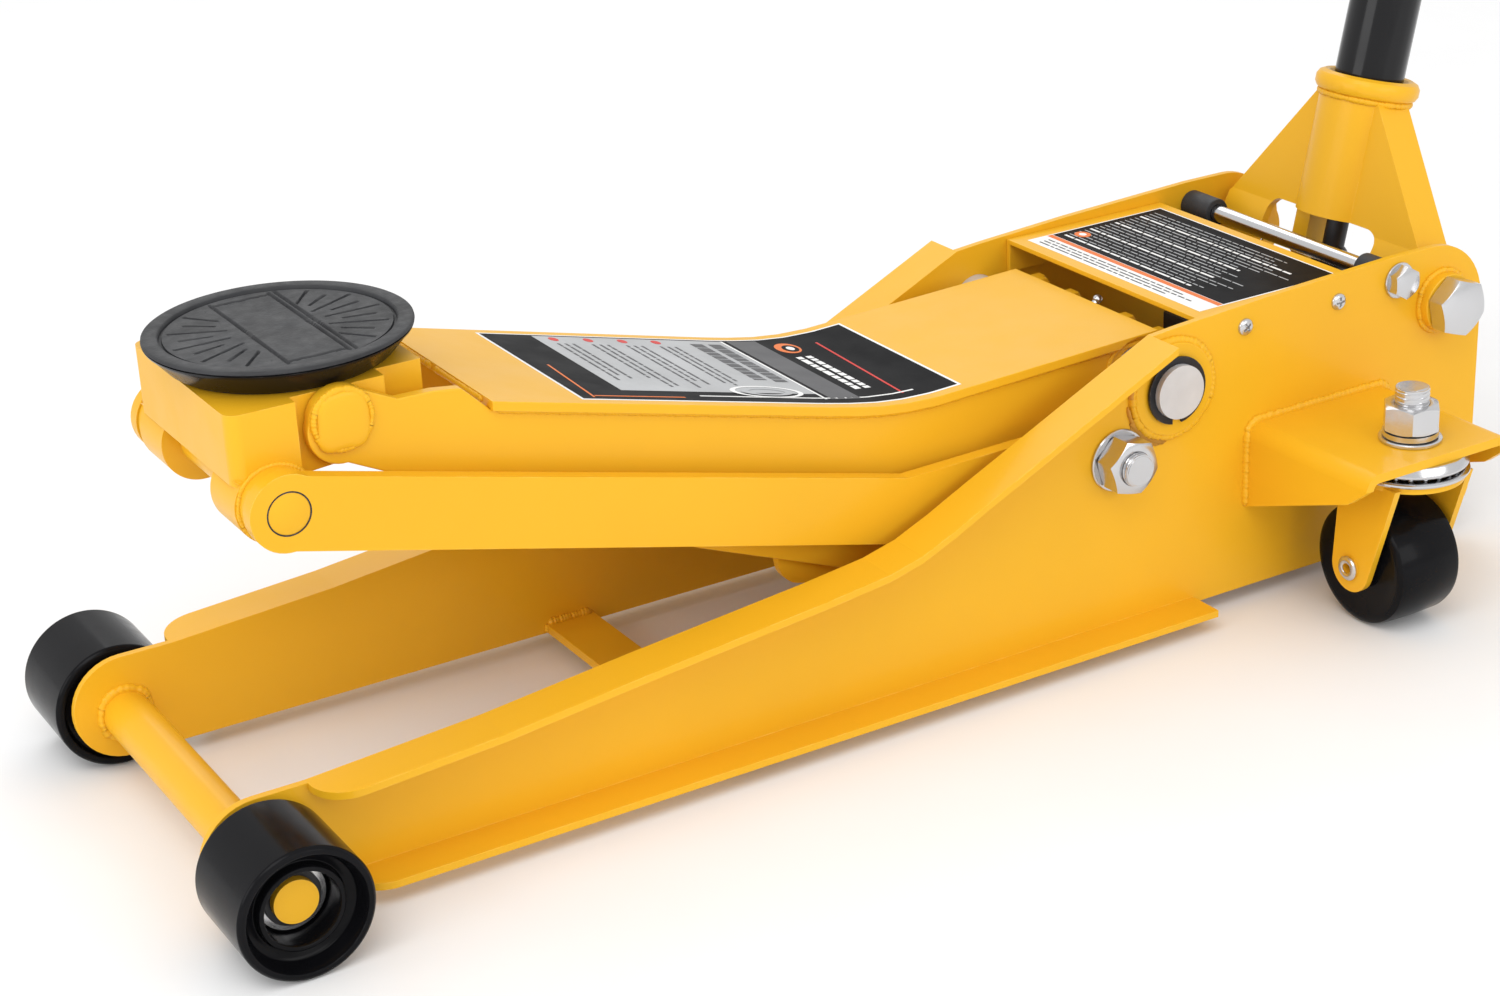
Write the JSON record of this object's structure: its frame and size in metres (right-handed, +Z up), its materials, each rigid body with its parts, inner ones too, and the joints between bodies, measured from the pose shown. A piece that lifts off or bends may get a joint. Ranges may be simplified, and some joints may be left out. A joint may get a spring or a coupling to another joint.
{
  "type": "garage floor jack",
  "caption": "Yellow low-profile trolley jack with a pivoting lift arm, parallel links, rubber saddle, front rollers, rear casters and a long pump handle.",
  "frame": {"origin": "centre of the bounding box footprint, on the floor", "axes": "+X from the front rollers towards the pump handle, +Y to the right-hand side plate as seen from the handle, +Z up"},
  "size_m": [1.0372, 0.386, 1.2552],
  "materials": {
    "yellow_paint": "gloss",
    "black_paint": "gloss",
    "black_oxide": "satin",
    "zinc": "satin",
    "chrome": "polished",
    "cast_iron": "rough",
    "roller_black": "gloss",
    "rubber": "matt"
  },
  "bodies": {
    "chassis": {"side_plate_left": "yellow_paint", "side_plate_right": "yellow_paint", "front_axle": "yellow_paint", "cross_bar": "yellow_paint", "axle_washers": "zinc", "snap_rings": "black_oxide", "cover_plate": "yellow_paint", "cover_screws": "zinc", "cross_rod": "chrome", "rod_sleeves": "rubber", "rod_bolts": "zinc", "main_shaft": "zinc", "shaft_bosses": "yellow_paint", "link_bolts": "zinc", "link_nuts": "zinc", "caster_bracket_left": "yellow_paint", "caster_bracket_right": "yellow_paint", "caster_studs": "zinc", "caster_nuts": "zinc", "caster_washers": "zinc", "caster_races": "chrome", "yoke_bosses": "yellow_paint", "yoke_bolts": "zinc", "pump_block": "cast_iron", "reservoir": "yellow_paint", "unit_bolts": "zinc"},
    "roller_l": {"roller_left": "roller_black"},
    "roller_r": {"roller_right": "roller_black"},
    "arm": {"arm_top": "yellow_paint", "arm_side_left": "yellow_paint", "arm_side_right": "yellow_paint", "arm_doublers": "yellow_paint", "arm_hub": "yellow_paint", "arm_pins": "yellow_paint", "arm_cranks": "yellow_paint", "crank_pin": "zinc", "grease_nipple": "zinc"},
    "links": {"link_left": "yellow_paint", "link_right": "yellow_paint", "link_pin": "yellow_paint"},
    "head": {"saddle_head": "yellow_paint"},
    "saddle": {"saddle_plate": "black_paint", "saddle_pad": "rubber"},
    "ram_slide": {"ram": "chrome", "ram_fork": "cast_iron"},
    "plunger": {"pump_plunger": "chrome"},
    "valve": {"release_valve": "zinc"},
    "yoke": {"yoke": "yellow_paint", "yoke_roller": "zinc", "yoke_screw": "zinc"},
    "handle": {"handle_lower": "black_paint", "handle_upper": "black_paint", "handle_button": "zinc", "handle_drive": "black_oxide", "handle_bumper": "rubber", "handle_grip": "rubber"},
    "caster_l": {"caster_left": "yellow_paint"},
    "caster_r": {"caster_right": "yellow_paint"},
    "caster_wheel_l": {"caster_wheel_left": "roller_black"},
    "caster_wheel_r": {"caster_wheel_right": "roller_black"}
  },
  "joints": [
    {"name": "roller_left_spin", "type": "hinge", "parent": "chassis", "child": "roller_l", "pos_m": [-0.48505, -0.124, 0.0335], "axis": [0, 1, 0], "continuous": true},
    {"name": "roller_right_spin", "type": "hinge", "parent": "chassis", "child": "roller_r", "pos_m": [-0.48505, 0.124, 0.0335], "axis": [0, 1, 0], "continuous": true},
    {"name": "arm_lift", "type": "hinge", "parent": "chassis", "child": "arm", "pos_m": [0.04895, 0, 0.1415], "axis": [0, 1, 0], "range_deg": [-19.5, 35]},
    {"name": "links_swing", "type": "hinge", "parent": "chassis", "child": "links", "pos_m": [0.01295, 0, 0.109], "axis": [0, 1, 0], "range_deg": [-19.6, 35.1]},
    {"name": "head_level", "type": "hinge", "parent": "arm", "child": "head", "pos_m": [-0.40955, 0, 0.2255], "axis": [0, 1, 0], "range_deg": [-35.1, 19.6]},
    {"name": "saddle_swivel", "type": "hinge", "parent": "head", "child": "saddle", "pos_m": [-0.41205, 0, 0.24], "axis": [0, 0, 1], "continuous": true},
    {"name": "ram_stroke", "type": "slide", "parent": "chassis", "child": "ram_slide", "axis": [-1, 0, 0], "range_m": [-0.0295, 0.0525]},
    {"name": "handle_pump", "type": "hinge", "parent": "chassis", "child": "yoke", "pos_m": [0.24195, 0, 0.149], "axis": [0, 1, 0], "range_deg": [-13, 57]},
    {"name": "plunger_stroke", "type": "slide", "parent": "chassis", "child": "plunger", "axis": [-1, 0, 0], "range_m": [-0.0081, 0.0353]},
    {"name": "handle_twist", "type": "hinge", "parent": "yoke", "child": "handle", "pos_m": [0.24195, 0, 0.149], "axis": [0.225, 0, 0.9744], "range_deg": [0, 270]},
    {"name": "valve_turn", "type": "hinge", "parent": "chassis", "child": "valve", "pos_m": [0.24195, 0, 0.12], "axis": [0, 0, 1], "range_deg": [0, 270.5]},
    {"name": "caster_left_swivel", "type": "hinge", "parent": "chassis", "child": "caster_l", "pos_m": [0.15695, -0.161, 0.09], "axis": [0, 0, 1], "continuous": true},
    {"name": "caster_right_swivel", "type": "hinge", "parent": "chassis", "child": "caster_r", "pos_m": [0.15695, 0.161, 0.09], "axis": [0, 0, 1], "continuous": true},
    {"name": "caster_left_roll", "type": "hinge", "parent": "caster_l", "child": "caster_wheel_l", "pos_m": [0.15695, -0.149, 0.035], "axis": [1, 0, 0], "continuous": true},
    {"name": "caster_right_roll", "type": "hinge", "parent": "caster_r", "child": "caster_wheel_r", "pos_m": [0.15695, 0.149, 0.035], "axis": [1, 0, 0], "continuous": true}
  ],
  "couplings": [
    {"joint": "links_swing", "follows": "arm_lift", "ratio": 1},
    {"joint": "head_level", "follows": "arm_lift", "ratio": -1},
    {"joint": "ram_stroke", "follows": "arm_lift", "m_per_rad": 0.0854},
    {"joint": "plunger_stroke", "follows": "handle_pump", "m_per_rad": 0.0354},
    {"joint": "valve_turn", "follows": "handle_twist", "ratio": 1}
  ]
}
